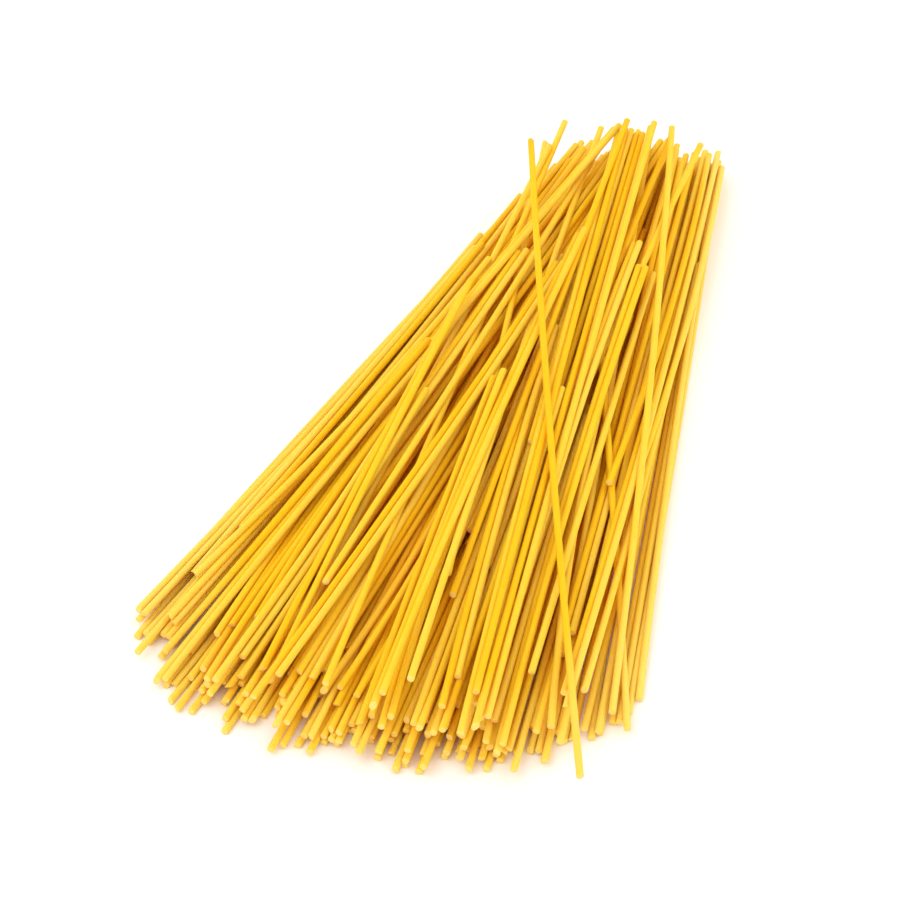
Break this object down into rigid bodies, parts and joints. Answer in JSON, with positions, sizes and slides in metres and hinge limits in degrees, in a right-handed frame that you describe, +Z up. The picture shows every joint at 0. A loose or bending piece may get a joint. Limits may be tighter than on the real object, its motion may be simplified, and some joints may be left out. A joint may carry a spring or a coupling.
{
  "type": "bundle of dry spaghetti",
  "caption": "Loose bundle of long dry pasta strands lying flat, gathered at one end and fanned out at the other.",
  "frame": {"origin": "centre of the overall box in X and Y, on the plane that the bundle rests on", "axes": "+Y along the strands towards the narrow gathered end, +Z up, +X to the right when looking along +Y"},
  "size_m": [0.1298, 0.2774, 0.0236],
  "materials": {
    "dry_pasta": "smooth, semi-matt, slightly translucent golden yellow"
  },
  "bodies": {
    "root": {"spaghetti_bundle": "dry_pasta"}
  },
  "joints": []
}
